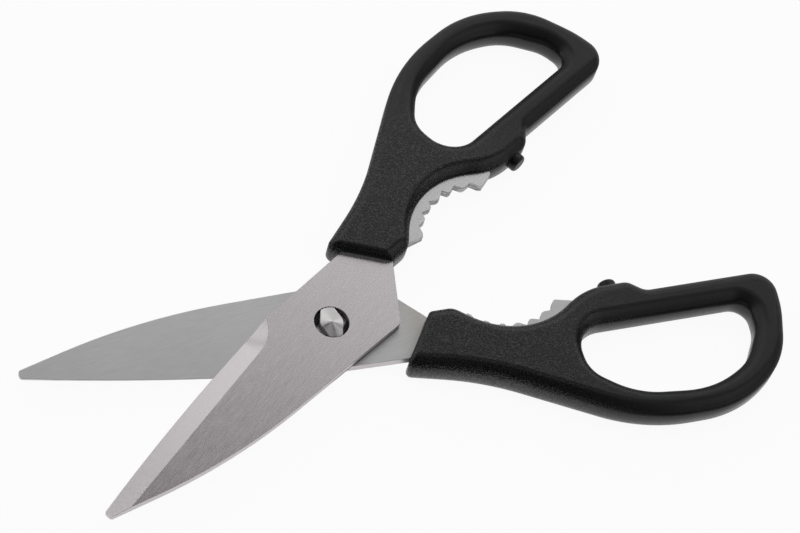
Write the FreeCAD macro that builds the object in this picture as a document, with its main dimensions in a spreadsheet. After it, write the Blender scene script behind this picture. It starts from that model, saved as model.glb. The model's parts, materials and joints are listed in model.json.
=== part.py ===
import FreeCAD
import Part
import math
import os
import re

import Sketcher

# Come-apart kitchen shears: two crossing halves, each a blade with a moulded loop handle, on a keyed stud.
# A half is drawn in its own plan: x runs from the pivot towards the finger loop, y towards the other handle,
# and z = 0 is the plane where the blades meet, with the blade below it. "Reach" is a distance along x,
# "depth" lies on the side of the finger loop and "height" on the other side. The rear half lies as drawn and
# the front half is turned over about x. The placed part rests on z = 0, centred on the origin, with the
# finger loops towards +X.

SIZES = {
    # Blade
    "blade_thickness": 2.2,
    "blade_gap": 0.05,
    "tip_reach": 84.3,
    "tip_height": 1.4,
    "tip_depth": 0.9,
    "tip_round": 0.9,
    "spine_bend_share": 0.585,
    "spine_round_share": 2.2,
    "spine_height": 11.2,
    "heel_reach": 13.7,
    "heel_height": 12.7,
    "heel_round": 0.8,
    "edge_reach": 12.3,
    "edge_depth": 12.6,
    "edge_bow": 650.0,
    "edge_land": 0.3,
    "bevel_width": 5.6,
    "runout_length": 9.6,
    "runout_radius": 8.2,
    "shank_depth": 13.3,
    # Tang and jaw, inside the handle
    "tang_top_depth": 4.9,
    "tang_foot_depth": 12.0,
    "tang_width": 7.6,
    "tang_end_depth": 9.0,
    "tang_toe_share": 0.4,
    "tang_fit": 0.05,
    "jaw_near_inset": 0.5,
    "jaw_far_inset": 2.8,
    "jaw_depth_share": 0.157,
    "jaw_bow_share": 0.975,
    "jaw_end_depth": 3.9,
    "jaw_end_round": 1.3,
    "front_jaw_advance": 0.8,
    "front_jaw_rise": 0.95,
    "tooth_pitch": 4.05,
    "tooth_height": 1.5,
    "tooth_root_share": 0.32,
    "tooth_tip_share": 0.1,
    "tooth_row_share": 0.7,
    # Handle
    "handle_thickness": 10.6,
    "handle_reach": 126.5,
    "ring_depth": 44.9,
    "edge_round": 3.3,
    "round_limit_share": 0.47,
    "ferrule_inner_reach": 26.9,
    "ferrule_outer_reach": 16.0,
    "ferrule_outer_depth": 17.0,
    "ferrule_round": 1.5,
    "bump_depth": 1.9,
    "bump_length": 6.5,
    "bump_round": 4.6,
    "grip_bend_share": 0.43,
    "grip_depth_share": 0.5,
    "grip_round_share": 1.68,
    "ring_span_share": 1.21,
    "ring_heel_share": 0.225,
    "ring_heel_round_share": 0.96,
    "ring_base_share": 0.753,
    "ring_base_round_share": 0.62,
    "ring_side_share": 0.88,
    "ring_side_depth_share": 0.751,
    "ring_side_round_share": 0.445,
    "ring_end_share": 0.977,
    "ring_end_depth_share": 0.318,
    "ring_end_round_share": 2.8,
    "far_round": 6.6,
    "far_limit_share": 0.6,
    "bar_depth": 5.9,
    "notch_length": 4.2,
    "notch_round": 4.0,
    "hump_reach": 71.7,
    "hump_length": 12.4,
    "hump_depth": 2.4,
    "hump_start_round": 21.0,
    "hump_end_round": 4.2,
    "recess_share": 0.439,
    "recess_depth_share": 0.372,
    "recess_round_share": 0.596,
    # Finger loop
    "loop_lead_length": 7.0,
    "bar_width": 7.5,
    "ring_width": 6.7,
    "ring_heel_width": 10.6,
    "far_width": 9.3,
    "loop_top_round_share": 0.61,
    "loop_heel_round_share": 0.62,
    "loop_near_share": 0.202,
    "loop_near_rise_share": 0.048,
    "loop_near_round_share": 0.45,
    "loop_base_share": 0.6135,
    "loop_base_sag_share": 0.015,
    "loop_base_round_share": 0.53,
    "loop_side_share": 0.863,
    "loop_side_depth_share": 0.724,
    "loop_side_round_share": 0.34,
    "loop_end_share": 0.983,
    "loop_end_depth_share": 0.29,
    "loop_end_round_share": 1.1,
    "loop_far_round": 4.6,
    "loop_far_limit_share": 0.58,
    # Stop bumper
    "bumper_share": 0.625,
    "bumper_diameter": 5.2,
    "bumper_round": 0.9,
    "bumper_seat": 0.5,
    "stem_diameter": 3.2,
    "stem_length": 3.5,
    "stop_gap": 0.1,
    # Pivot
    "stud_diameter": 6.2,
    "head_diameter": 9.2,
    "head_play": 0.05,
    "crown_height": 0.45,
    "lobe_width": 3.8,
    "rivet_diameter": 9.0,
    "rivet_height": 0.9,
    "rivet_round": 0.5,
    "ledge_thickness": 1.2,
    "running_fit": 0.05,
    "key_clearance": 0.2,
    # Cuts run past the faces that they open by this much
    "overrun": 2.0,
    # Angle between the halves as they lie
    "opening_angle": 31.4,
}

# Formulas that several pieces share
OUTER_FACE = "(blade_thickness + blade_gap / 2)"
MATING_FACE = "(blade_gap / 2)"
BUMP_REACH = "(ferrule_inner_reach + bump_length)"
RECESS_LENGTH = f"(hump_reach - {BUMP_REACH})"
BUMPER_REACH = "(hump_reach + bumper_share * hump_length)"
JAW_START = f"({BUMP_REACH} - jaw_near_inset)"
JAW_END = "(hump_reach - jaw_far_inset)"
JAW_HALF = f"(({JAW_END} - {JAW_START}) / 2)"
JAW_REACH = f"(({JAW_END} + {JAW_START}) / 2)"
JAW_DEPTH = f"(bump_depth + jaw_depth_share * {RECESS_LENGTH})"
JAW_BOW = f"(jaw_bow_share * {JAW_HALF})"
TANG_DEPTH = f"({JAW_DEPTH} + tang_width)"
LOOP_REACH = "(hump_reach - loop_lead_length)"
LOOP_LENGTH = f"(handle_reach - far_width - {LOOP_REACH})"
RING_SPAN = f"min({LOOP_LENGTH}; ring_span_share * ring_depth)"
RING_END_RISE = "(ring_end_depth_share * (ring_depth - bar_depth))"
LOOP_END_RISE = "(loop_end_depth_share * (ring_depth - bar_depth - bar_width))"
RING_HEEL_REACH = f"({LOOP_REACH} + ring_heel_share * {LOOP_LENGTH})"
GRIP_LENGTH = f"({LOOP_REACH} - ferrule_outer_reach)"
GRIP_REACH = f"(ferrule_outer_reach + grip_bend_share * {GRIP_LENGTH})"
GRIP_DEPTH = "(grip_depth_share * ring_depth)"
GRIP_SLOPE = f"((ring_depth - {GRIP_DEPTH}) / ({RING_HEEL_REACH} - {GRIP_REACH}))"
LOOP_HEEL_DEPTH = f"({GRIP_DEPTH} + {GRIP_SLOPE} * ({LOOP_REACH} - {GRIP_REACH}) - ring_heel_width)"
LOOP_END_WIDTH = f"({LOOP_HEEL_DEPTH} - bar_depth - bar_width)"
FERRULE_SLANT = "((ferrule_inner_reach - ferrule_outer_reach) / (ferrule_outer_depth - bump_depth))"
EDGE_RUN = "(tip_reach - edge_reach)"
EDGE_DROP = "(edge_depth - tip_depth)"
EDGE_ANGLE = f"atan({EDGE_DROP} / {EDGE_RUN})"
EDGE_LENGTH = f"sqrt({EDGE_RUN} ^ 2 + {EDGE_DROP} ^ 2)"
EDGE_SAG = f"(edge_bow - sqrt(edge_bow ^ 2 - {EDGE_LENGTH} ^ 2 / 4))"

doc = FreeCAD.newDocument("KitchenShears")


def make_sheet():
    sheet = doc.addObject("Spreadsheet::Sheet", "Sizes")
    for row, (alias, size) in enumerate(SIZES.items(), start=1):
        sheet.set(f"A{row}", alias)
        sheet.set(f"B{row}", str(size))
        sheet.setAlias(f"B{row}", alias)
    doc.recompute()
    return sheet


sheet = make_sheet()


def cells(formula):
    """The formula with each size named as its cell in the sheet."""
    return re.sub(r"[a-z_]+", lambda word: f"Sizes.{word[0]}" if word[0] in SIZES else word[0], formula)


def value(formula):
    return float(sheet.evalExpression(cells(formula)))


def bind(thing, prop, formula):
    thing.setExpression(prop, cells(formula))


# Sketches

def plane(body, role):
    return next(feature for feature in body.Origin.OriginFeatures if feature.Role == role)


def new_sketch(body, name, role="XY_Plane", height="0"):
    """A sketch parallel to one of the body's planes, at a height along that plane's normal."""
    sketch = body.newObject("Sketcher::SketchObject", name)
    sketch.AttachmentSupport = [(plane(body, role), "")]
    sketch.MapMode = "FlatFace"
    bind(sketch, "AttachmentOffset.Base.z", height)
    return sketch


def hold(sketch, kind, where, formula):
    """A dimension of the sketch, bound to the sheet."""
    index = sketch.addConstraint(Sketcher.Constraint(kind, *where, value(formula)))
    bind(sketch, f"Constraints[{index}]", formula)


def hold_point(sketch, geometry, end, x, y):
    hold(sketch, "DistanceX", (-1, 1, geometry, end), x)
    hold(sketch, "DistanceY", (-1, 1, geometry, end), y)


def arc_through(start, end, centre, left):
    """A circle's arc from start to end, which turns left or right on the way."""
    radius = (start - centre).Length
    across = [(point - centre) for point in (start, end)]
    middle = across[0].normalize() + across[1].normalize()
    middle = centre + middle.normalize() * radius
    ends = (start, end) if left else (end, start)
    return Part.Arc(ends[0], middle, ends[1])


def draw_outline(sketch, corners):
    """A closed outline from corners, counter-clockwise: (x, y), (x, y, rounding) or (x, y, "bow", radius).

    A bow makes the edge after its corner an arc that swells outwards; its two corners stay sharp.
    """
    count = len(corners)
    points = [FreeCAD.Vector(value(corner[0]), value(corner[1]), 0) for corner in corners]
    round_of = [corner[2] if len(corner) == 3 else None for corner in corners]
    bow_of = [corner[3] if len(corner) == 4 else None for corner in corners]

    # Where each corner's rounding starts and ends, and its centre
    entry, leave, centre, left = [], [], [], []
    for i, point in enumerate(points):
        back = (points[i - 1] - point).normalize()
        ahead = (points[(i + 1) % count] - point).normalize()
        left.append(back.cross(ahead).z < 0)
        if round_of[i] is None:
            entry.append(point)
            leave.append(point)
            centre.append(point)
            continue
        radius = value(round_of[i])
        run = radius / math.tan(back.getAngle(ahead) / 2)
        bisector = (back + ahead).normalize()
        entry.append(point + back * run)
        leave.append(point + ahead * run)
        centre.append(point + bisector * (run ** 2 + radius ** 2) ** 0.5)

    edges = []
    for i in range(count):
        start, end = leave[i], entry[(i + 1) % count]
        if bow_of[i] is None:
            edges.append(sketch.addGeometry(Part.LineSegment(start, end)))
            continue
        radius = value(bow_of[i])
        chord = end - start
        inward = FreeCAD.Vector(-chord.y, chord.x, 0).normalize()
        hub = (start + end) / 2 + inward * (radius ** 2 - chord.Length ** 2 / 4) ** 0.5
        edges.append(sketch.addGeometry(arc_through(start, end, hub, True)))
        hold(sketch, "Radius", (edges[i],), bow_of[i])

    for i in range(count):
        before, after = edges[i - 1], edges[i]
        x, y = corners[i][:2]
        if round_of[i] is None:
            sketch.addConstraint(Sketcher.Constraint("Coincident", before, 2, after, 1))
            hold_point(sketch, after, 1, x, y)
            continue
        arc = sketch.addGeometry(arc_through(entry[i], leave[i], centre[i], left[i]))
        first, last = (1, 2) if left[i] else (2, 1)
        sketch.addConstraint(Sketcher.Constraint("Tangent", before, 2, arc, first))
        sketch.addConstraint(Sketcher.Constraint("Tangent", after, 1, arc, last))
        hold(sketch, "Radius", (arc,), round_of[i])
        corner = sketch.addGeometry(Part.Point(points[i]), True)
        sketch.addConstraint(Sketcher.Constraint("PointOnObject", corner, 1, before))
        sketch.addConstraint(Sketcher.Constraint("PointOnObject", corner, 1, after))
        hold_point(sketch, corner, 1, x, y)


def draw_circle(sketch, radius):
    """A circle about the sketch's origin."""
    circle = sketch.addGeometry(Part.Circle(FreeCAD.Vector(), FreeCAD.Vector(0, 0, 1), value(radius)))
    sketch.addConstraint(Sketcher.Constraint("Coincident", circle, 3, -1, 1))
    hold(sketch, "Radius", (circle,), radius)


# Features

def extrude(body, kind, name, sketch, length, reverse=False):
    feature = body.newObject(f"PartDesign::{kind}", name)
    feature.Profile = sketch
    feature.Reversed = reverse
    bind(feature, "Length", length)
    return settle(body, feature)


def revolve(body, kind, name, sketch, angle=360, reverse=False):
    """Turns a sketch about its own upright axis."""
    feature = body.newObject(f"PartDesign::{kind}", name)
    feature.Profile = sketch
    feature.ReferenceAxis = (sketch, ["V_Axis"])
    feature.Angle = angle
    feature.Reversed = reverse
    return settle(body, feature)


def fillet(body, name, chosen, radius):
    """Rounds the edges of the body so far that the test chooses."""
    base = body.Tip
    names = [f"Edge{i}" for i, edge in enumerate(base.Shape.Edges, start=1) if chosen(edge)]
    if not names:
        raise RuntimeError(f"{name}: no edges to round")
    feature = body.newObject("PartDesign::Fillet", name)
    feature.Base = (base, names)
    bind(feature, "Radius", radius)
    return settle(body, feature)


def settle(body, feature):
    """Recomputes, and checks that the feature holds and that a cut took something away."""
    before = feature.BaseFeature.Shape.Volume if feature.BaseFeature else 0
    doc.recompute()
    if not feature.isValid():
        raise RuntimeError(f"{body.Label}: {feature.Name} failed")
    cuts = feature.TypeId in ("PartDesign::Pocket", "PartDesign::Groove")
    if cuts and feature.Shape.Volume >= before:
        raise RuntimeError(f"{body.Label}: {feature.Name} cuts nothing")
    return feature


def new_body(name):
    return doc.addObject("PartDesign::Body", name)


def upright_at(edge, x, y):
    """Whether an edge stands upright on a corner of the plan."""
    corner = FreeCAD.Vector(value(x), value(y), 0)
    return all((FreeCAD.Vector(v.X, v.Y, 0) - corner).Length < value("tang_fit") for v in edge.Vertexes)


# Blade

def ferrule_reach(depth):
    """Reach of the handle's slanted end face at a depth."""
    return f"(ferrule_inner_reach - ({depth} - bump_depth) * {FERRULE_SLANT})"


# How far along and up each half's jaw lies from the middle of the handle's recess
REAR_JAW = ("0", "0")
FRONT_JAW = ("front_jaw_advance", "front_jaw_rise")
TEETH_EACH_SIDE = int(value(f"tooth_row_share * {JAW_HALF} / tooth_pitch"))


def on_jaw(jaw, along, depth):
    """A point of the jaw and the tang behind it, from the middle of the jaw."""
    advance, rise = jaw
    return (f"{JAW_REACH} + {advance} + {along}", f"{rise} - ({depth})")


def on_row(jaw, pitches, depth):
    """A point of a row of teeth, which lies on an arc."""
    across = f"({pitches} * tooth_pitch)"
    return on_jaw(jaw, across, f"{depth} - {JAW_BOW} + sqrt({JAW_BOW} ^ 2 - {across} ^ 2)")


def tooth_tip(jaw, pitches):
    """The two corners of a tooth's flat tip."""
    return [on_row(jaw, f"({pitches} {side} tooth_tip_share)", JAW_DEPTH) for side in "+-"]


def jaw_teeth(jaw):
    """Tips and roots of the jaw from its far end to its near end."""
    roots = f"{JAW_DEPTH} + tooth_height"
    teeth = []
    for k in range(TEETH_EACH_SIDE, 0, -1):
        teeth += tooth_tip(jaw, k)
        teeth.append(on_row(jaw, f"({k} - tooth_root_share)", roots))
    teeth += tooth_tip(jaw, 0)
    for k in range(1, TEETH_EACH_SIDE + 1):
        teeth.append(on_row(jaw, f"(tooth_root_share - {k})", roots))
        teeth += tooth_tip(jaw, -k)
    return teeth


def blade_outline(jaw):
    def shoulder(depth):
        return (f"{ferrule_reach(depth)} - tang_fit", f"-{depth}")

    return [
        ("-tip_reach", "-tip_depth", "bow", "edge_bow"),
        ("-edge_reach", "-edge_depth"),
        shoulder("shank_depth"),
        shoulder("tang_foot_depth"),
        on_jaw(jaw, f"-{JAW_HALF}", TANG_DEPTH),
        on_jaw(jaw, f"tang_toe_share * {JAW_HALF}", TANG_DEPTH),
        on_jaw(jaw, JAW_HALF, "tang_end_depth"),
        (*on_jaw(jaw, JAW_HALF, "jaw_end_depth"), "jaw_end_round"),
        *jaw_teeth(jaw),
        on_jaw(jaw, f"-{JAW_HALF}", "jaw_end_depth"),
        shoulder("tang_top_depth"),
        shoulder("bump_depth"),
        ("heel_reach", "heel_height", "heel_round"),
        ("-spine_bend_share * tip_reach", "spine_height", "spine_round_share * tip_reach"),
        ("-tip_reach", "tip_height"),
    ]


def edge_sketch(body, name):
    """A sketch square to the cutting edge where the bevel's run-out begins: x out of the blade, y upwards."""
    sketch = body.newObject("Sketcher::SketchObject", name)
    sketch.AttachmentSupport = [(plane(body, "YZ_Plane"), "")]
    sketch.MapMode = "FlatFace"
    bind(sketch, "AttachmentOffset.Base.x", f"-edge_depth + runout_length * sin({EDGE_ANGLE})")
    bind(sketch, "AttachmentOffset.Base.z", f"-edge_reach - runout_length * cos({EDGE_ANGLE})")
    bind(sketch, "AttachmentOffset.Rotation.Axis.x", "0")
    bind(sketch, "AttachmentOffset.Rotation.Axis.y", "1")
    bind(sketch, "AttachmentOffset.Rotation.Axis.z", "0")
    bind(sketch, "AttachmentOffset.Rotation.Angle", f"-{EDGE_ANGLE}")
    return sketch


def bevel_section(shift):
    """The ground-off corner, from the bevel's inner line on the outer face to the land at the edge."""
    slope = "((blade_thickness - edge_land) / bevel_width)"
    inner = f"(bevel_width - {EDGE_SAG})"
    past = f"({EDGE_SAG} + overrun)"
    top = f"-{OUTER_FACE} + {slope} * (bevel_width + overrun)"
    return [
        (f"{shift} - {past}", f"-{OUTER_FACE} - overrun"),
        (f"{shift} + {inner} + overrun", f"-{OUTER_FACE} - overrun"),
        (f"{shift} + {inner} + overrun", f"-{OUTER_FACE} - {slope} * overrun"),
        (f"{shift} - {past}", top),
    ]


def blade(name, jaw):
    body = new_body(name)
    plan = new_sketch(body, f"{name}_plan", height=f"-{MATING_FACE}")
    draw_outline(plan, blade_outline(jaw))
    extrude(body, "Pad", f"{name}_plate", plan, "blade_thickness", reverse=True)
    fillet(body, f"{name}_tip", lambda edge: upright_at(edge, "-tip_reach", "tip_height")
           or upright_at(edge, "-tip_reach", "-tip_depth"), "tip_round")

    section = edge_sketch(body, f"{name}_bevel_section")
    draw_outline(section, bevel_section("0"))
    extrude(body, "Pocket", f"{name}_bevel", section, f"{EDGE_LENGTH} + overrun")

    section = edge_sketch(body, f"{name}_runout_section")
    draw_outline(section, bevel_section("runout_radius"))
    bind(section, "AttachmentOffset.Base.x",
         f"-edge_depth + runout_length * sin({EDGE_ANGLE}) - runout_radius * cos({EDGE_ANGLE})")
    bind(section, "AttachmentOffset.Base.z",
         f"-edge_reach - runout_length * cos({EDGE_ANGLE}) - runout_radius * sin({EDGE_ANGLE})")
    revolve(body, "Groove", f"{name}_runout", section, angle=90, reverse=True)
    return body


def rear_blade():
    body = blade("rear_blade", REAR_JAW)
    bore = new_sketch(body, "rear_blade_bore_circle")
    draw_circle(bore, "stud_diameter / 2")
    extrude(body, "Pocket", "rear_blade_bore", bore, f"{OUTER_FACE} + overrun")
    return body


def front_blade():
    body = blade("front_blade", FRONT_JAW)
    head_room = "(head_diameter / 2 + key_clearance)"
    recess = new_sketch(body, "front_blade_recess_circle", height=f"-{MATING_FACE} - ledge_thickness")
    draw_circle(recess, head_room)
    extrude(body, "Pocket", "front_blade_recess", recess, "blade_thickness")

    # The keyway lies along the blade, so that the halves part when they stand square to each other
    neck = "(stud_diameter / 2 + running_fit)"
    half = "(lobe_width / 2 + key_clearance)"
    end = f"sqrt({head_room} ^ 2 - {half} ^ 2)"
    waist = flank_corner(neck, half, end)
    keyway = new_sketch(body, "front_blade_keyway_outline")
    draw_outline(keyway, [
        (end, f"-{half}", "bow", head_room),
        (end, half),
        ("0", waist, neck),
        (f"-{end}", half, "bow", head_room),
        (f"-{end}", f"-{half}"),
        ("0", f"-{waist}", neck),
    ])
    extrude(body, "Pocket", "front_blade_keyway", keyway, f"{OUTER_FACE} + overrun")
    return body


# Pivot stud

def flank_corner(neck, half, reach):
    """Where the flanks of a key meet: they touch the neck and run to lobes of a half width at a reach."""
    return f"({neck} / cos(atan({reach} / {half}) - acos({neck} / sqrt({half} ^ 2 + {reach} ^ 2))))"


def pivot_stud():
    body = new_body("pivot_stud")
    stud = "stud_diameter / 2"
    head = "(head_diameter / 2)"
    seat = f"{MATING_FACE} + ledge_thickness + head_play"
    profile = new_sketch(body, "pivot_stud_profile", role="XZ_Plane")
    draw_outline(profile, [
        ("0", f"-{OUTER_FACE} - rivet_height"),
        ("rivet_diameter / 2", f"-{OUTER_FACE} - rivet_height", "rivet_round"),
        ("rivet_diameter / 2", f"-{OUTER_FACE}"),
        (stud, f"-{OUTER_FACE}"),
        (stud, seat),
        (head, seat),
        (head, OUTER_FACE),
        ("0", f"{OUTER_FACE} + crown_height"),
    ])
    revolve(body, "Revolution", "pivot_stud_turned", profile)

    # Two side cuts leave a head with two lobes, square to the rear blade
    half = "(lobe_width / 2)"
    reach = f"sqrt({head} ^ 2 - {half} ^ 2)"
    waist = flank_corner(f"({stud})", half, reach)
    outside = f"({head} + overrun)"
    for name, side in (("near", "-1"), ("far", "1")):
        corners = [
            (f"{side} * {half}", f"-{reach}"),
            (f"{side} * {outside}", f"-{reach}"),
            (f"{side} * {outside}", reach),
            (f"{side} * {half}", reach),
            (f"{side} * {waist}", "0", stud),
        ]
        cut = new_sketch(body, f"pivot_stud_{name}_outline", height=f"{OUTER_FACE} + crown_height")
        draw_outline(cut, corners if side == "1" else corners[::-1])
        extrude(body, "Pocket", f"pivot_stud_{name}_side", cut, f"{OUTER_FACE} + crown_height - ({seat})")
    return body


# Handle

def handle_outline():
    return [
        ("ferrule_inner_reach", "-bump_depth"),
        ("ferrule_outer_reach", "-ferrule_outer_depth"),
        (GRIP_REACH, f"-{GRIP_DEPTH}", f"grip_round_share * {GRIP_LENGTH}"),
        (RING_HEEL_REACH, "-ring_depth", f"ring_heel_round_share * {RING_SPAN}"),
        (f"{LOOP_REACH} + ring_base_share * {LOOP_LENGTH}", "-ring_depth",
         f"ring_base_round_share * {RING_SPAN}"),
        (f"handle_reach - (1 - ring_side_share) * {RING_SPAN}", "-ring_side_depth_share * ring_depth",
         f"ring_side_round_share * {RING_SPAN}"),
        (f"handle_reach - (1 - ring_end_share) * {RING_SPAN}", f"-bar_depth - {RING_END_RISE}",
         f"ring_end_round_share * {RING_END_RISE}"),
        ("handle_reach", "-bar_depth", f"min(far_round; far_limit_share * {RING_END_RISE})"),
        ("hump_reach + hump_length + notch_length", "-bar_depth", "notch_round"),
        ("hump_reach + hump_length", "-hump_depth", "hump_end_round"),
        ("hump_reach", "-hump_depth", "hump_start_round"),
        (f"{BUMP_REACH} + recess_share * {RECESS_LENGTH}",
         f"-bump_depth - recess_depth_share * {RECESS_LENGTH}", f"recess_round_share * {RECESS_LENGTH}"),
        (BUMP_REACH, "-bump_depth", "bump_round"),
    ]


def loop_outline():
    top = "-(bar_depth + bar_width)"
    far = "(handle_reach - far_width)"
    base = f"(ring_depth - ring_width + loop_base_sag_share * {LOOP_LENGTH})"
    return [
        (LOOP_REACH, top, f"loop_top_round_share * {LOOP_END_WIDTH}"),
        (LOOP_REACH, f"-{LOOP_HEEL_DEPTH}", f"loop_heel_round_share * {LOOP_END_WIDTH}"),
        (f"{LOOP_REACH} + loop_near_share * {LOOP_LENGTH}", f"loop_near_rise_share * {LOOP_LENGTH} - {base}",
         f"loop_near_round_share * {RING_SPAN}"),
        (f"{LOOP_REACH} + loop_base_share * {LOOP_LENGTH}", f"-{base}",
         f"loop_base_round_share * {RING_SPAN}"),
        (f"{far} - (1 - loop_side_share) * {RING_SPAN}", "-loop_side_depth_share * ring_depth",
         f"loop_side_round_share * {RING_SPAN}"),
        (f"{far} - (1 - loop_end_share) * {RING_SPAN}", f"{top} - {LOOP_END_RISE}",
         f"loop_end_round_share * {LOOP_END_RISE}"),
        (far, top, f"min(loop_far_round; loop_far_limit_share * {LOOP_END_RISE})"),
    ]


def slot_outline(jaw):
    """The tang's outline with its fit, open at the slanted end and over the jaw."""
    def mouth(depth, ease):
        return (f"{ferrule_reach(depth)} - overrun", f"-{depth} {ease} tang_fit")

    return [
        mouth("tang_foot_depth", "-"),
        (ferrule_reach("tang_foot_depth"), "-tang_foot_depth - tang_fit"),
        on_jaw(jaw, f"-{JAW_HALF} - tang_fit", f"{TANG_DEPTH} + tang_fit"),
        on_jaw(jaw, f"tang_toe_share * {JAW_HALF} + tang_fit", f"{TANG_DEPTH} + tang_fit"),
        on_jaw(jaw, f"{JAW_HALF} + tang_fit", "tang_end_depth + tang_fit"),
        on_jaw(jaw, f"{JAW_HALF} + tang_fit", "jaw_end_depth - tang_fit"),
        on_row(jaw, f"({TEETH_EACH_SIDE} + tooth_tip_share)", f"{JAW_DEPTH} - tang_fit"),
        on_row(jaw, f"(-{TEETH_EACH_SIDE} - tooth_tip_share)", f"{JAW_DEPTH} - tang_fit"),
        on_jaw(jaw, f"-{JAW_HALF} - tang_fit", "jaw_end_depth - tang_fit"),
        (ferrule_reach("tang_top_depth"), "-tang_top_depth + tang_fit"),
        mouth("tang_top_depth", "+"),
    ]


def thinnest_wall(plan):
    """Smallest distance between the handle's outline and its finger loop."""
    outer, inner = plan.Shape.Wires
    return outer.distToShape(inner)[0]


def on_ferrule(vertex):
    """Whether a vertex lies on the handle's slanted end face."""
    reach = value("ferrule_inner_reach") + (vertex.Y + value("bump_depth")) * value(FERRULE_SLANT)
    return abs(vertex.X - reach) < value("tang_fit")


def handle(name, jaw):
    body = new_body(name)
    half = "handle_thickness / 2"
    plan = new_sketch(body, f"{name}_plan", height=f"-{half}")
    draw_outline(plan, handle_outline())
    draw_outline(plan, loop_outline())
    extrude(body, "Pad", f"{name}_block", plan, "handle_thickness")

    # The long edges first, then round the end face where the blade comes out
    def long_edge(edge):
        level = all(abs(abs(v.Z) - value(half)) < value("tang_fit") for v in edge.Vertexes)
        return level and not all(on_ferrule(v) for v in edge.Vertexes)

    thinnest = f"min({thinnest_wall(plan)}; handle_thickness)"
    fillet(body, f"{name}_edges", long_edge, f"min(edge_round; round_limit_share * {thinnest})")
    fillet(body, f"{name}_ferrule", lambda edge: all(on_ferrule(v) for v in edge.Vertexes), "ferrule_round")

    slot = new_sketch(body, f"{name}_slot_outline", height=f"tang_fit - {MATING_FACE}")
    draw_outline(slot, slot_outline(jaw))
    extrude(body, "Pocket", f"{name}_slot", slot, "blade_thickness + 2 * tang_fit")

    seat = bumper_sketch(body, f"{name}_seat_profile", "tang_fit", ("overrun",))
    revolve(body, "Groove", f"{name}_seat", seat)
    return body


# Stop bumper

def bumper_sketch(body, name, ease, top):
    """Half section of the bumper about its own axis, eased for its seat.

    The top is (height,) or (height, rounding).
    """
    sketch = new_sketch(body, name)
    bind(sketch, "AttachmentOffset.Base.x", BUMPER_REACH)
    head = f"bumper_diameter / 2 + {ease}"
    stem = f"stem_diameter / 2 + {ease}"
    seat = f"-hump_depth - bumper_seat - {ease}"
    draw_outline(sketch, [
        ("0", f"{seat} - stem_length"),
        (stem, f"{seat} - stem_length"),
        (stem, seat),
        (head, seat),
        (head, *top),
        ("0", top[0]),
    ])
    return sketch


def bumper(name):
    body = new_body(name)
    profile = bumper_sketch(body, f"{name}_profile", "0", ("-stop_gap / 2", "bumper_round"))
    revolve(body, "Revolution", f"{name}_button", profile)
    return body


# Assembly

def assemble():
    rear = [rear_blade(), handle("rear_handle", REAR_JAW), bumper("rear_bumper"), pivot_stud()]
    front = [front_blade(), handle("front_handle", FRONT_JAW), bumper("front_bumper")]
    up = FreeCAD.Vector(0, 0, 1)
    half_angle = value("opening_angle") / 2
    turned_over = FreeCAD.Rotation(FreeCAD.Vector(1, 0, 0), 180)
    turns = [(rear, FreeCAD.Rotation(up, -half_angle)),
             (front, FreeCAD.Rotation(up, half_angle) * turned_over)]
    for bodies, turn in turns:
        for body in bodies:
            body.Placement = FreeCAD.Placement(FreeCAD.Vector(), turn)
    doc.recompute()

    # The footprint's centre and the underside go to the origin
    box = FreeCAD.BoundBox()
    for body in rear + front:
        box.add(body.Shape.optimalBoundingBox())
    pivot = FreeCAD.Vector(-box.Center.x, -box.Center.y, -box.ZMin)
    for body in rear + front:
        body.Placement = FreeCAD.Placement(pivot, body.Placement.Rotation)
    doc.recompute()
    print("pivot at", [round(c, 4) for c in pivot])
    print("size", [round(c, 3) for c in (box.XLength, box.YLength, box.ZLength)])
    return rear + front


def write(bodies):
    for thing in doc.Objects:
        if "Invalid" in thing.State or "Error" in thing.State:
            raise RuntimeError(f"{thing.Label} failed")
    for body in bodies:
        if body.Shape.isNull() or not body.Shape.isValid() or len(body.Shape.Solids) != 1:
            raise RuntimeError(f"{body.Label} is not one valid solid")
    os.makedirs("parts", exist_ok=True)
    for body in bodies:
        body.Shape.exportStep(f"parts/{body.Label}.step")
        print(body.Label, "volume", round(body.Shape.Volume, 1))


write(assemble())
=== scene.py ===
import json
import math

import bpy
from mathutils import Euler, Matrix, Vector


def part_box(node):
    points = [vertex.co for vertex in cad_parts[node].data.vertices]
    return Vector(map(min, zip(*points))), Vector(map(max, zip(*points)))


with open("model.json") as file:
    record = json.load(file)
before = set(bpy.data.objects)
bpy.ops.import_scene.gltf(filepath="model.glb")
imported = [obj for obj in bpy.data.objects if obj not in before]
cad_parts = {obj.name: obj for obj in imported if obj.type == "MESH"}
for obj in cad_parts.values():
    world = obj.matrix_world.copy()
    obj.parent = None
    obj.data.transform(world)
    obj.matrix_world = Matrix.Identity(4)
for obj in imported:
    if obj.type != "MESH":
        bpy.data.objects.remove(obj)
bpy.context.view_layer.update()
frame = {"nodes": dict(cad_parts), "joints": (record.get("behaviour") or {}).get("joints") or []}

bl_info = {
    "name": "Kitchen Shears Finishes",
    "version": (1, 0, 0),
    "blender": (4, 5, 0),
    "location": "View3D > Sidebar > Shears",
    "description": "Steel, moulded plastic and a white studio for come-apart kitchen shears",
    "category": "Material",
}

HINGE = frame["joints"][0]
PIVOT = Vector(HINGE["pos_m"])
# At rest each half lies at this angle to the middle line, half of the turn that closes the shears.
HALF_OPENING = math.radians(-HINGE["range_deg"][0] / 2)

NOISE_MEAN = 0.5

# In every band here a share goes from 0 at the first value to 1 at the second.

# Bands of the upright part of a blade's normal.
FLAT_FACE = (0.965, 0.985)
OUTER_FACE = (-0.1, 0.1)
GROUND_BEVEL = (0.80, 0.90)
SHEARED_WALL = (0.6, 0.35)
COUNTERBORE_FACING = (-0.4, -0.1)

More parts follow.
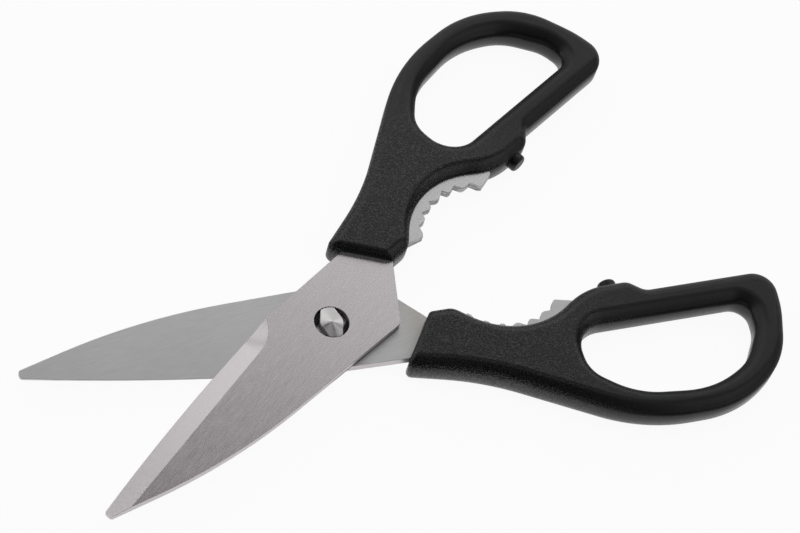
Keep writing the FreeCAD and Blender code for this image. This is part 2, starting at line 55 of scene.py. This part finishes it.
# Bands of a blade's metres from the pivot, in plan or in height.
COUNTERBORE_RADIUS = (0.0049, 0.0047)
COUNTERBORE_HEIGHT = (0.0021, 0.0019)
JAW_REACH = (0.024, 0.030)
SHANK_REACH = (0.016, 0.027)
# Where the painted contact shadow lies on the front blade's walls: height above the mating face, then reach from
# the pivot.
CONTACT_SHADOW_HEIGHT = (0.0008, 0.0004)
CONTACT_SHADOW_REACH = (-0.014, -0.010)

# Cells per metre of the steel's noise along, across and up.
BROAD_STROKES = (110, 900, 0)
CLOUDS = (40, 60, 0)
GROUND_LINES = (6250, 160, 160)
SHEARED_LAYERS = (260, 260, 2400)
STROKE_CELLS_UP = 500

# What each mark adds to the steel's tone, roughness and relief.
FINE_STROKE_SHARE = 0.7
OUTER_GRAIN_TONE = 0.5
OUTER_CLOUD_TONE = 0.08
MATING_GRAIN_TONE = 0.3
MATING_CLOUD_TONE = 0.16
GROUND_LINE_TONE = 0.12
SHEARED_LAYER_TONE = 0.3
BARE_ROUGHNESS = 0.48
OUTER_GRAIN_ROUGHNESS = 0.14
GROUND_LINE_ROUGHNESS = 0.06
MATING_GRAIN_RELIEF = 0.2
GROUND_LINE_RELIEF = 0.05
SHEARED_LAYER_RELIEF = 0.6

# How far painted shade darkens places on a blade, where painted glints lighten the teeth, and the shank's warm
# painted shade and reflection.
COUNTERBORE_PAINTED_SHADE = 0.98
TEETH_PAINTED_SHADE = 0.62
TEETH_PAINTED_GLINT = 0.5
PAINTED_GLINT_BAND = (0.45, 0.62)
JAW_PAINTED_SHADE = 0.14
CONTACT_SHADOW_DARKNESS = 0.96
SHANK_PAINTED_SHADE_COLOUR = (0.52, 0.5, 0.455, 1)
SHANK_PAINTED_SHADE_SHARE = 0.8

# The handle's full sides: where they stand upright, how they lean, and where they give way to the top and the foot.
UPRIGHT_AT_SHARE = 0.41
EVEN_LEAN_SHARE = 0.4
TOP_BAND = (0.975, 0.88)
FOOT_BAND = (-0.9, -0.6)

# The handle's wear: metres from the pivot over which the fresh grain fades, what is left of it on the loop, and the
# normal's upright part from which the surface is worn.
FRESH_REACH = (0.095, 0.055)
FRESH_ON_LOOP = 0.3
WORN_RISE = (0.2, 0.65)

# The handle's clouds in cells per metre, its grain and speckle, and what each adds to its tone, roughness, relief
# and coat.
HANDLE_CLOUDS = 60.0
MOULD_GRAIN_HARSHNESS = 0.6
SPECKLE_FINENESS = 1.25
SPECKLE_BAND = (0.51, 0.60)
SPECKLE_MEAN = 0.42
HANDLE_TONE = 0.6
HANDLE_CLOUD_TONE = 0.5
MOULD_GRAIN_TONE = 1.2
SPECKLE_TONE = 1.2
WORN_ROUGHNESS = 0.26
MOULD_GRAIN_ROUGHNESS = 0.2
HANDLE_CLOUD_ROUGHNESS = 0.08
SPECKLE_GLOSS = 0.08
SPECKLE_RELIEF = 0.3
SPECKLE_COAT = 0.52

# The bumpers' scuffs and clouds in cells per metre, and what they add.
SCUFFS = 1400.0
BUMPER_CLOUDS = 300.0
BUMPER_TONE = 0.7
SCUFF_TONE = 0.6
SCUFF_ROUGHNESS = 0.14
BUMPER_CLOUD_ROUGHNESS = 0.1
SCUFF_DEPTH = 0.000006

# The stud's smears in cells per metre, and what they and its turning rings add.
SMEARS = 900.0
STUD_TONE = 0.92
RING_TONE = 0.3
SMEAR_TONE = 0.12
RING_ROUGHNESS = 0.1
SMEAR_ROUGHNESS = 0.06
RING_DEPTH = 0.000003
STUD_EDGE_BREAK = 0.00025

# Each standing lamp's turn in radians from straight behind the shears to the left, then its distance, foot, head
# and width in metres, and its brightness.
STANDING_LAMPS = {
    "back_box": (0.045, 1.12, 0.3, 1.845, 1.9, 1.0),
    "left_box": (1.38, 1.3, 0.35, 2.0, 1.75, 0.9),
    "front_fill": (3.14, 1.4, 0.15, 0.8, 1.8, 0.16),
    "right_box": (-1.57, 1.4, 0.7, 2.5, 1.6, 0.8),
}
# Each overhead lamp's height and side in metres, its brightness and whether glossy surfaces show it.
OVERHEAD_LAMPS = {
    "top_box": (2.6, 1.3, 0.32, True),
    "ceiling_fill": (2.7, 2.5, 1.1, False),
}
SENSOR_WIDTH = 36
FLOOR_DROP = 0.0002
FLOOR_TONE = 0.92
WHITE = (1, 1, 1, 1)


# Settings

class BladeSteelSettings(bpy.types.PropertyGroup):
    colour: bpy.props.FloatVectorProperty(
        name="Steel colour", description="Colour of the bare stainless steel",
        default=(0.645, 0.605, 0.62), size=3, subtype="COLOR", min=0, max=1)
    grain_width: bpy.props.FloatProperty(
        name="Grain width", description="Width of a brushed stroke on the outer faces",
        default=0.0003, unit="LENGTH", subtype="DISTANCE")
    grain_length: bpy.props.FloatProperty(
        name="Grain length", description="Length of a brushed stroke along the blade",
        default=0.0042, unit="LENGTH", subtype="DISTANCE")
    grain_turn: bpy.props.FloatProperty(
        name="Grain turn", description="Angle of the strokes to the blade's length",
        default=math.radians(9), unit="ROTATION", subtype="ANGLE")
    grain_depth: bpy.props.FloatProperty(
        name="Grain depth", description="Depth of the brushed strokes",
        default=0.000005, unit="LENGTH", subtype="DISTANCE")
    outer_roughness: bpy.props.FloatProperty(
        name="Outer roughness", description="Roughness of the brushed outer faces",
        default=0.27, subtype="FACTOR", min=0, max=1)
    mating_roughness: bpy.props.FloatProperty(
        name="Mating roughness", description="Roughness of the smooth faces that slide on each other",
        default=0.42, subtype="FACTOR", min=0, max=1)
    edge_break: bpy.props.FloatProperty(
        name="Edge break", description="Width over which the edges have lost their sharpness",
        default=0.00018, unit="LENGTH", subtype="DISTANCE")
    bevel_roughness: bpy.props.FloatProperty(
        name="Bevel roughness", description="Roughness of the ground cutting bevels",
        default=0.2, subtype="FACTOR", min=0, max=1)


class HandlePlasticSettings(bpy.types.PropertyGroup):
    colour: bpy.props.FloatVectorProperty(
        name="Handle colour", description="Colour of the moulded handles",
        default=(0.0048, 0.005, 0.0053), size=3, subtype="COLOR", min=0, max=1)
    roughness: bpy.props.FloatProperty(
        name="Handle roughness", description="Roughness of the moulded skin",
        default=0.3, subtype="FACTOR", min=0, max=1)
    grain_size: bpy.props.FloatProperty(
        name="Mould grain", description="Size of the fine grain that the mould leaves",
        default=0.00045, unit="LENGTH", subtype="DISTANCE")
    grain_depth: bpy.props.FloatProperty(
        name="Grain depth", description="Depth of that grain",
        default=0.00006, unit="LENGTH", subtype="DISTANCE")
    side_lean: bpy.props.FloatProperty(
        name="Side lean", description="How far the full sides lean in just under the top, as a slope",
        default=1.85, min=0)


class BumperSettings(bpy.types.PropertyGroup):
    colour: bpy.props.FloatVectorProperty(
        name="Bumper colour", description="Colour of the stop bumpers",
        default=(0.004, 0.004, 0.0045), size=3, subtype="COLOR", min=0, max=1)
    roughness: bpy.props.FloatProperty(
        name="Bumper roughness", description="Roughness of the stop bumpers",
        default=0.42, subtype="FACTOR", min=0, max=1)


class StudSteelSettings(bpy.types.PropertyGroup):
    colour: bpy.props.FloatVectorProperty(
        name="Stud colour", description="Colour of the turned stud",
        default=(0.88, 0.855, 0.855), size=3, subtype="COLOR", min=0, max=1)
    roughness: bpy.props.FloatProperty(
        name="Stud roughness", description="Roughness of the turned head",
        default=0.3, subtype="FACTOR", min=0, max=1)
    turned: bpy.props.FloatProperty(
        name="Turned sheen", description="How far the turning rings draw out the gloss",
        default=1.0, subtype="FACTOR", min=0, max=1)
    ring_pitch: bpy.props.FloatProperty(
        name="Turning pitch", description="Distance between the fine rings that turning leaves",
        default=0.00012, unit="LENGTH", subtype="DISTANCE")
    cone: bpy.props.FloatProperty(
        name="Head cone", description="Slope of the slightly pointed top that turning leaves on the head",
        default=0.2, min=0, max=1)


class StudioSettings(bpy.types.PropertyGroup):
    eye: bpy.props.FloatVectorProperty(
        name="Camera place", description="Where the camera stands",
        default=(-0.33798, -0.29484, 0.66902), size=3, unit="LENGTH", subtype="XYZ")
    turn: bpy.props.FloatVectorProperty(
        name="Camera turn", description="How the camera is turned",
        default=tuple(math.radians(a) for a in (33.1703, -11.0045, -32.6221)),
        size=3, unit="ROTATION", subtype="EULER")
    lens: bpy.props.FloatProperty(
        name="Lens", description="Focal length in millimetres on a 36 mm sensor",
        default=134.49, min=1)
    floor_size: bpy.props.FloatProperty(
        name="Floor size", description="Side of the white floor",
        default=12.0, unit="LENGTH", subtype="DISTANCE")
    shadow_share: bpy.props.FloatProperty(
        name="Shadow share", description="How much of the floor's own shading shows in the white",
        default=0.065, subtype="FACTOR", min=0, max=1)
    surround: bpy.props.FloatProperty(
        name="Surround", description="Brightness of the dim room round the lamps",
        default=0.03, min=0)


# Shader sums

class Field:
    """A socket's value. Python sums on fields add the nodes that work them out."""

    def __init__(self, tree, socket=None):
        self.tree = tree
        self.socket = socket

    def node(self, kind, settings=None, inputs=None, output=0):
        """Adds a node, first its settings and then the values or links of its sockets, and gives one output."""
        made = self.tree.nodes.new(kind)
        for name, setting in (settings or {}).items():
            setattr(made, name, setting)
        for name, given in (inputs or {}).items():
            if isinstance(given, Field):
                self.tree.links.new(given.socket, made.inputs[name])
            else:
                made.inputs[name].default_value = given
        return Field(self.tree, made.outputs[output] if made.outputs else None)

    def sum(self, operation, *terms):
        """Works out one operation, on vectors where any term is one."""
        wide = any(isinstance(term, Field) and term.socket.type in {"VECTOR", "RGBA"} for term in terms)
        kind = "ShaderNodeVectorMath" if wide else "ShaderNodeMath"
        if wide:
            terms = [term if isinstance(term, (Field, tuple)) else (term,) * 3 for term in terms]
        return self.node(kind, {"operation": operation}, dict(enumerate(terms)))

    def __add__(self, other):
        return self.sum("ADD", self, other)

    __radd__ = __add__

    def __sub__(self, other):
        return self.sum("SUBTRACT", self, other)

    def __rsub__(self, other):
        return self.sum("SUBTRACT", other, self)

    def __mul__(self, other):
        return self.sum("MULTIPLY", self, other)

    __rmul__ = __mul__

    def __truediv__(self, other):
        return self.sum("DIVIDE", self, other)

    def __pow__(self, power):
        return self.sum("POWER", self, power)

    def __abs__(self):
        return self.sum("ABSOLUTE", self)

    def largest(self, other):
        """The larger of two values."""
        return self.sum("MAXIMUM", self, other)

    def ease(self, low, high):
        """0 below low, 1 above high and a smooth change between; low may be the higher one."""
        flip = low > high
        return self.node("ShaderNodeMapRange", {"interpolation_type": "SMOOTHSTEP"}, {
            "Value": self, "From Min": min(low, high), "From Max": max(low, high),
            "To Min": float(flip), "To Max": float(not flip)})

    def unit(self):
        """This vector at length 1."""
        return self.sum("NORMALIZE", self)

    def along(self, direction):
        """How far this vector reaches in a direction."""
        return self.node(
            "ShaderNodeVectorMath", {"operation": "DOT_PRODUCT"}, {0: self, 1: direction}, "Value")

    def scaled(self, share):
        """This vector times a value."""
        return self.node("ShaderNodeVectorMath", {"operation": "SCALE"}, {0: self, "Scale": share})

    def tinted(self, colour):
        """A colour times this value."""
        return self.node("ShaderNodeVectorMath", {"operation": "SCALE"}, {0: tuple(colour), "Scale": self})

    def blend(self, first, second):
        """The first colour where this share is 0 and the second where it is 1."""
        return self.node(
            "ShaderNodeMix", {"data_type": "RGBA"}, {"Factor": self, 6: first, 7: second}, 2)

    def broken_edge(self, width):
        """Normals of a surface whose edges have their sharpness taken off over a width."""
        return self.node("ShaderNodeBevel", {"samples": 6}, {"Radius": width})

    def part(self, axis):
        """This vector's part along X, Y or Z."""
        return self.node("ShaderNodeSeparateXYZ", None, {"Vector": self}, axis)

    def noise(self, scale, detail=2.0, roughness=0.5):
        """Smooth noise about 0.5 over this vector."""
        return self.node("ShaderNodeTexNoise", None, {
            "Vector": self, "Scale": scale, "Detail": detail, "Roughness": roughness})

    def vector(self, x, y, z):
        """A vector of three parts."""
        return self.node("ShaderNodeCombineXYZ", None, {"X": x, "Y": y, "Z": z})

    def streaks(self, places, cells, detail=2.0):
        """Noise over three places, with so many cells per metre of each."""
        return self.vector(*(place * count for place, count in zip(places, cells))).noise(1.0, detail)

    def bump(self, height, distance, normal=None):
        """Normals of a relief whose height is a share of a distance, on top of other normals."""
        inputs = {"Height": height, "Distance": distance, "Strength": 1.0}
        if normal is not None:
            inputs["Normal"] = normal
        return self.node("ShaderNodeBump", None, inputs)


def new_finish(name, constants):
    """A material with a Principled shader whose constant sockets are set, and a field to start sums from."""
    material = bpy.data.materials.new(name)
    material.use_nodes = True
    tree = material.node_tree
    shader = tree.nodes["Principled BSDF"]
    for socket, constant in constants.items():
        shader.inputs[socket].default_value = constant
    return material, shader, Field(tree)


def feed(start, shader, **fields):
    """Links each field to the shader's socket of that name."""
    for name, field in fields.items():
        start.tree.links.new(field.socket, shader.inputs[name.replace("_", " ").title()])


def object_place(start):
    """Where a point lies on the shears at rest."""
    return start.node("ShaderNodeTexCoord", output="Object")


def upright_part(start):
    """How far the normal points up."""
    return start.node("ShaderNodeTexCoord", output="Normal").part("Z")


def span(x, y):
    """Length of the plan vector with these parts."""
    return (x * x + y * y) ** 0.5


def plan_of(start, angle):
    """Reach, depth and height fields from the pivot, for a half that lies at an angle."""
    place = object_place(start) - tuple(PIVOT)
    reach = place.along((math.cos(angle), math.sin(angle), 0))
    side = place.along((-math.sin(angle), math.cos(angle), 0))
    return reach, side, place.part("Z")


def wear(node, material):
    """Gives a CAD node its finish."""
    mesh = frame["nodes"][node].data
    mesh.materials.clear()
    mesh.materials.append(material)


# Finishes

def blade_steel(settings, name, angle, outer_side):
    """Stainless steel: brushed outer face with its ground bevel, smooth mating face, bare sheared walls."""
    material, shader, start = new_finish(name, {"Metallic": 0.9})
    plan = reach, side, height = plan_of(start, angle)
    stroke_plan = plan_of(start, angle + settings.grain_turn)
    outward = height * outer_side
    facing = upright_part(start) * outer_side
    up = abs(facing)

    strokes = (1 / settings.grain_length, 1 / settings.grain_width, STROKE_CELLS_UP)
    fine = start.streaks(stroke_plan, strokes, detail=3.0)
    broad = start.streaks(stroke_plan, BROAD_STROKES)
    grain = fine * FINE_STROKE_SHARE + broad * (1 - FINE_STROKE_SHARE) - NOISE_MEAN
    cloud = start.streaks(plan, CLOUDS) - NOISE_MEAN
    lines = start.streaks(plan, GROUND_LINES) - NOISE_MEAN
    sheared = start.streaks(plan, SHEARED_LAYERS)
    layers = sheared - NOISE_MEAN

    flat = up.ease(*FLAT_FACE)
    outer = flat * facing.ease(*OUTER_FACE)
    mating = flat - outer
    bevel = up.ease(*GROUND_BEVEL) * (1 - flat)
    wall = up.ease(*SHEARED_WALL)
    # The counterbore round the stud's head, where painted shade darkens the steel almost to black.
    counterbore = (span(reach, side).ease(*COUNTERBORE_RADIUS) * outward.ease(*COUNTERBORE_HEIGHT)
                   * facing.ease(*COUNTERBORE_FACING))
    jaw = reach.ease(*JAW_REACH)
    teeth = wall * jaw
    # The shank's mating face next to the handle, which gets a warm painted shade and reflection.
    shank = mating * reach.ease(*SHANK_REACH) * (1 - jaw)
    on_front = max(outer_side, 0)
    # Painted contact shadow: a thin dark line at the foot of the front blade's walls, where it lies on the rear
    # blade.
    contact_shadow = wall * outward.ease(*CONTACT_SHADOW_HEIGHT) * reach.ease(*CONTACT_SHADOW_REACH) * (1 - teeth) * on_front

    tone = (1 + outer * (grain * OUTER_GRAIN_TONE + cloud * OUTER_CLOUD_TONE)
            + mating * (grain * MATING_GRAIN_TONE + cloud * MATING_CLOUD_TONE)
            + bevel * lines * GROUND_LINE_TONE + wall * layers * SHEARED_LAYER_TONE)
    # Painted shade in the counterbore's hollow.
    tone = tone * (1 - counterbore * COUNTERBORE_PAINTED_SHADE)
    # Painted shade in the gaps between the teeth, partly the darker sheared steel, lightened in streaks along the
    # sheared layers by painted glints.
    tone = tone * (1 - teeth * (TEETH_PAINTED_SHADE - sheared.ease(*PAINTED_GLINT_BAND) * TEETH_PAINTED_GLINT))
    # Painted contact shadow along the foot of the front blade's walls.
    # Painted shade on the jaw's outer face, down in the handle's recess.
    tone = tone * (1 - outer * jaw * JAW_PAINTED_SHADE) * (1 - contact_shadow * CONTACT_SHADOW_DARKNESS)
    red, green, blue = settings.colour
    steel = mating.largest(jaw).blend((red, green, blue, 1), (red, red, red, 1))
    # Painted shade and reflection: the shank next to the handle is tinted darker and warmer.
    steel = (shank * SHANK_PAINTED_SHADE_SHARE).blend(steel, SHANK_PAINTED_SHADE_COLOUR)
    roughness = (settings.outer_roughness * outer + settings.mating_roughness * mating
                 + settings.bevel_roughness * bevel + BARE_ROUGHNESS * (1 - flat - bevel)
                 + outer * grain * OUTER_GRAIN_ROUGHNESS + bevel * lines * GROUND_LINE_ROUGHNESS)
    marks = (outer * grain + mating * grain * MATING_GRAIN_RELIEF + bevel * lines * GROUND_LINE_RELIEF
             + wall * layers * SHEARED_LAYER_RELIEF)
    relief = start.bump(marks, settings.grain_depth, start.broken_edge(settings.edge_break))
    feed(start, shader, base_color=steel.scaled(tone), roughness=roughness, normal=relief)
    return material


def full_side(start, place, lean):
    """Normals of a full, leaning side: it leaves the top at an edge and is upright lower down."""
    low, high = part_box("front_handle")
    bottom, top = low[2], high[2]
    upright_at = bottom + UPRIGHT_AT_SHARE * (top - bottom)
    normal = start.node("ShaderNodeNewGeometry", output="Normal")
    rise = normal.part("Z")
    outward = (normal * (1, 1, 0)).unit()
    above = (place.part("Z") - upright_at) / (top - upright_at)
    slope = lean * above * (EVEN_LEAN_SHARE + (1 - EVEN_LEAN_SHARE) * abs(above))
    leaning = (outward + start.vector(0, 0, slope)).unit()
    on_side = rise.ease(*TOP_BAND) * rise.ease(*FOOT_BAND)
    return (normal.scaled(1 - on_side) + leaning.scaled(on_side)).unit()


def handle_plastic(settings):
    """Black moulded plastic with the fine grain of its mould, worn smoother by the fingers round the loop."""
    material, shader, start = new_finish("handle_moulded_black", {
        "IOR": 1.45, "Coat Roughness": 0.2, "Coat IOR": 1.5})
    place = object_place(start)
    reach = span(place.part("X") - PIVOT.x, place.part("Y") - PIVOT.y)
    fresh = FRESH_ON_LOOP + (1 - FRESH_ON_LOOP) * reach.ease(*FRESH_REACH)
    worn = (1 - fresh) * upright_part(start).ease(*WORN_RISE)
    grain = (place.noise(1 / settings.grain_size, roughness=MOULD_GRAIN_HARSHNESS) - NOISE_MEAN) * fresh
    dots = place.noise(SPECKLE_FINENESS / settings.grain_size, detail=1.0).ease(*SPECKLE_BAND)
    speckle = SPECKLE_MEAN + (dots - SPECKLE_MEAN) * fresh
    cloud = place.noise(HANDLE_CLOUDS) - NOISE_MEAN
    tone = HANDLE_TONE + cloud * HANDLE_CLOUD_TONE + grain * MOULD_GRAIN_TONE + speckle * SPECKLE_TONE
    roughness = (settings.roughness + worn * WORN_ROUGHNESS + grain * MOULD_GRAIN_ROUGHNESS
                 + cloud * HANDLE_CLOUD_ROUGHNESS - speckle * SPECKLE_GLOSS)
    sides = full_side(start, place, settings.side_lean)
    relief = start.bump(grain + speckle * SPECKLE_RELIEF, settings.grain_depth, sides)
    feed(start, shader, base_color=tone.tinted(settings.colour), roughness=roughness,
         coat_weight=speckle * fresh * SPECKLE_COAT, normal=relief)
    return material


def bumper_plastic(settings):
    """Smooth blacker plastic of the stop bumpers, lightly scuffed."""
    material, shader, start = new_finish("bumper_smooth_black", {"IOR": 1.45})
    place = object_place(start)
    scuff = place.noise(SCUFFS, detail=3.0)
    cloud = place.noise(BUMPER_CLOUDS, detail=1.0) - NOISE_MEAN
    tone = BUMPER_TONE + scuff * SCUFF_TONE
    roughness = (settings.roughness + (scuff - NOISE_MEAN) * SCUFF_ROUGHNESS
                 + cloud * BUMPER_CLOUD_ROUGHNESS)
    feed(start, shader, base_color=tone.tinted(settings.colour), roughness=roughness,
         normal=start.bump(scuff, SCUFF_DEPTH))
    return material


def stud_steel(settings):
    """Bright turned steel with rings round the stud's axis."""
    material, shader, start = new_finish("stud_turned_steel", {
        "Metallic": 1.0, "Anisotropic": settings.turned, "Anisotropic Rotation": 0.25})
    place = object_place(start) - tuple(PIVOT)
    radius = span(place.part("X"), place.part("Y"))
    pitch = settings.ring_pitch
    rings = start.vector(radius / pitch, place.part("Z") / pitch, 0).noise(1.0)
    smear = place.noise(SMEARS) - NOISE_MEAN
    tone = STUD_TONE + (rings - NOISE_MEAN) * RING_TONE + smear * SMEAR_TONE
    roughness = settings.roughness + (rings - NOISE_MEAN) * RING_ROUGHNESS + smear * SMEAR_ROUGHNESS
    pointed = start.bump(0 - radius, settings.cone, start.broken_edge(STUD_EDGE_BREAK))
    feed(start, shader, base_color=tone.tinted(settings.colour), roughness=roughness,
         normal=start.bump(rings, RING_DEPTH, pointed))
    return material


# Studio

def white_floor(settings):
    """A floor that shows white and keeps a share of the shears' shadow."""
    half = settings.floor_size / 2
    mesh = bpy.data.meshes.new("white_floor")
    corners = [(x * half, y * half, -FLOOR_DROP) for x, y in ((-1, -1), (1, -1), (1, 1), (-1, 1))]
    mesh.from_pydata(corners, [], [(0, 1, 2, 3)])
    floor = bpy.data.objects.new("white_floor", mesh)
    bpy.context.scene.collection.objects.link(floor)

    material = bpy.data.materials.new("white_table")
    material.use_nodes = True
    tree = material.node_tree
    tree.nodes.clear()
    start = Field(tree)
    camera, glossy, through = (
        start.node("ShaderNodeLightPath", output=f"Is {ray} Ray") for ray in ("Camera", "Glossy", "Transmission"))
    seen = camera.largest(glossy).largest(through)
    matte = start.node("ShaderNodeBsdfDiffuse", None, {"Color": (FLOOR_TONE, FLOOR_TONE, FLOOR_TONE, 1)})
    white = start.node("ShaderNodeEmission", None, {"Color": WHITE, "Strength": 1.0})
    shown = start.node("ShaderNodeMixShader", None, {0: seen * (1 - settings.shadow_share), 1: matte, 2: white})
    start.node("ShaderNodeOutputMaterial", None, {"Surface": shown})
    mesh.materials.append(material)


def dim_room(settings):
    """A world that is white to the camera and dim to the shears."""
    world = bpy.data.worlds.new("dim_room")
    world.use_nodes = True
    tree = world.node_tree
    tree.nodes.clear()
    start = Field(tree)
    camera = start.node("ShaderNodeLightPath", output="Is Camera Ray")
    strength = settings.surround + camera * (1 - settings.surround)
    light = start.node("ShaderNodeBackground", None, {"Color": WHITE, "Strength": strength})
    start.node("ShaderNodeOutputWorld", None, {"Surface": light})
    bpy.context.scene.world = world


def soft_lamp(name, place, target, width, height, brightness, in_gloss=True):
    """A soft box whose face has a brightness, where 1 is white."""
    lamp = bpy.data.lights.new(name, "AREA")
    lamp.shape = "RECTANGLE"
    lamp.size = width
    lamp.size_y = height
    lamp.energy = brightness * math.pi * width * height
    thing = bpy.data.objects.new(name, lamp)
    thing.location = place
    thing.rotation_euler = (target - place).to_track_quat("-Z", "Y").to_euler()
    thing.visible_camera = False
    thing.visible_glossy = in_gloss
    bpy.context.scene.collection.objects.link(thing)


def soft_lamps(settings):
    """The boxes round the shears and the ones above them."""
    away = Vector((-settings.eye[0], -settings.eye[1], 0)).normalized()
    left = Vector((-away.y, away.x, 0))
    for name, (turn, distance, foot, head, width, brightness) in STANDING_LAMPS.items():
        side = away * math.cos(turn) + left * math.sin(turn)
        level = Vector((0, 0, (foot + head) / 2))
        soft_lamp(name, side * distance + level, level, width, head - foot, brightness)
    for name, (height, side, brightness, in_gloss) in OVERHEAD_LAMPS.items():
        soft_lamp(name, Vector((0, 0, height)), Vector((0, 0, 0)), side, side, brightness, in_gloss)


def photo_camera(settings):
    """The camera that looks down on the shears from in front."""
    camera = bpy.data.cameras.new("camera")
    camera.sensor_width = SENSOR_WIDTH
    camera.lens = settings.lens
    thing = bpy.data.objects.new("camera", camera)
    thing.location = settings.eye
    thing.rotation_euler = Euler(settings.turn)
    bpy.context.scene.collection.objects.link(thing)
    bpy.context.scene.camera = thing


# Operators

class DressOperator:
    """What the operators share: each can be undone."""
    bl_options = {"REGISTER", "UNDO"}


class SHEARS_OT_blades(DressOperator, bpy.types.Operator):
    """Gives both blades their brushed and ground steel"""
    bl_idname = "shears.blades"
    bl_label = "Blades"

    def execute(self, context):
        settings = context.scene.shears_blade_steel
        wear("front_blade", blade_steel(settings, "front_blade_steel", HALF_OPENING, 1))
        wear("rear_blade", blade_steel(settings, "rear_blade_steel", -HALF_OPENING, -1))
        return {"FINISHED"}


class SHEARS_OT_handles(DressOperator, bpy.types.Operator):
    """Gives both handles their moulded plastic"""
    bl_idname = "shears.handles"
    bl_label = "Handles"

    def execute(self, context):
        finish = handle_plastic(context.scene.shears_handle_plastic)
        wear("front_handle", finish)
        wear("rear_handle", finish)
        return {"FINISHED"}


class SHEARS_OT_bumpers(DressOperator, bpy.types.Operator):
    """Gives both stop bumpers their smooth plastic"""
    bl_idname = "shears.bumpers"
    bl_label = "Stop bumpers"

    def execute(self, context):
        finish = bumper_plastic(context.scene.shears_bumper)
        wear("front_bumper", finish)
        wear("rear_bumper", finish)
        return {"FINISHED"}


class SHEARS_OT_stud(DressOperator, bpy.types.Operator):
    """Gives the pivot stud its turned steel"""
    bl_idname = "shears.stud"
    bl_label = "Pivot stud"

    def execute(self, context):
        wear("pivot_stud", stud_steel(context.scene.shears_stud_steel))
        return {"FINISHED"}


class SHEARS_OT_studio(DressOperator, bpy.types.Operator):
    """Makes the camera, the white floor and the soft lamps"""
    bl_idname = "shears.studio"
    bl_label = "Studio"

    def execute(self, context):
        settings = context.scene.shears_studio
        context.scene.view_settings.view_transform = "Standard"
        photo_camera(settings)
        white_floor(settings)
        dim_room(settings)
        soft_lamps(settings)
        return {"FINISHED"}


class SHEARS_PT_finishes(bpy.types.Panel):
    """Lists the shears' finishes and the studio"""
    bl_idname = "SHEARS_PT_finishes"
    bl_label = "Kitchen shears"
    bl_space_type = "VIEW_3D"
    bl_region_type = "UI"
    bl_category = "Shears"

    def draw(self, context):
        for operator, group in STEPS:
            box = self.layout.box()
            box.operator(operator.bl_idname)
            settings = getattr(context.scene, group)
            for name in settings.bl_rna.properties.keys():
                if name not in {"rna_type", "name"}:
                    box.prop(settings, name)


GROUPS = {
    "shears_blade_steel": BladeSteelSettings,
    "shears_handle_plastic": HandlePlasticSettings,
    "shears_bumper": BumperSettings,
    "shears_stud_steel": StudSteelSettings,
    "shears_studio": StudioSettings,
}
STEPS = (
    (SHEARS_OT_blades, "shears_blade_steel"),
    (SHEARS_OT_handles, "shears_handle_plastic"),
    (SHEARS_OT_bumpers, "shears_bumper"),
    (SHEARS_OT_stud, "shears_stud_steel"),
    (SHEARS_OT_studio, "shears_studio"),
)
CLASSES = (*GROUPS.values(), *(operator for operator, group in STEPS), SHEARS_PT_finishes)


def register():
    """Adds the classes and hangs their settings on the scene."""
    for each in CLASSES:
        bpy.utils.register_class(each)
    for name, group in GROUPS.items():
        setattr(bpy.types.Scene, name, bpy.props.PointerProperty(type=group))


def unregister():
    """Takes the settings and the classes away again."""
    for name in GROUPS:
        delattr(bpy.types.Scene, name)
    for each in reversed(CLASSES):
        bpy.utils.unregister_class(each)


def main():
    """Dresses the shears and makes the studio."""
    register()
    bpy.ops.shears.blades()
    bpy.ops.shears.handles()
    bpy.ops.shears.bumpers()
    bpy.ops.shears.stud()
    bpy.ops.shears.studio()


if __name__ == "__main__":
    main()
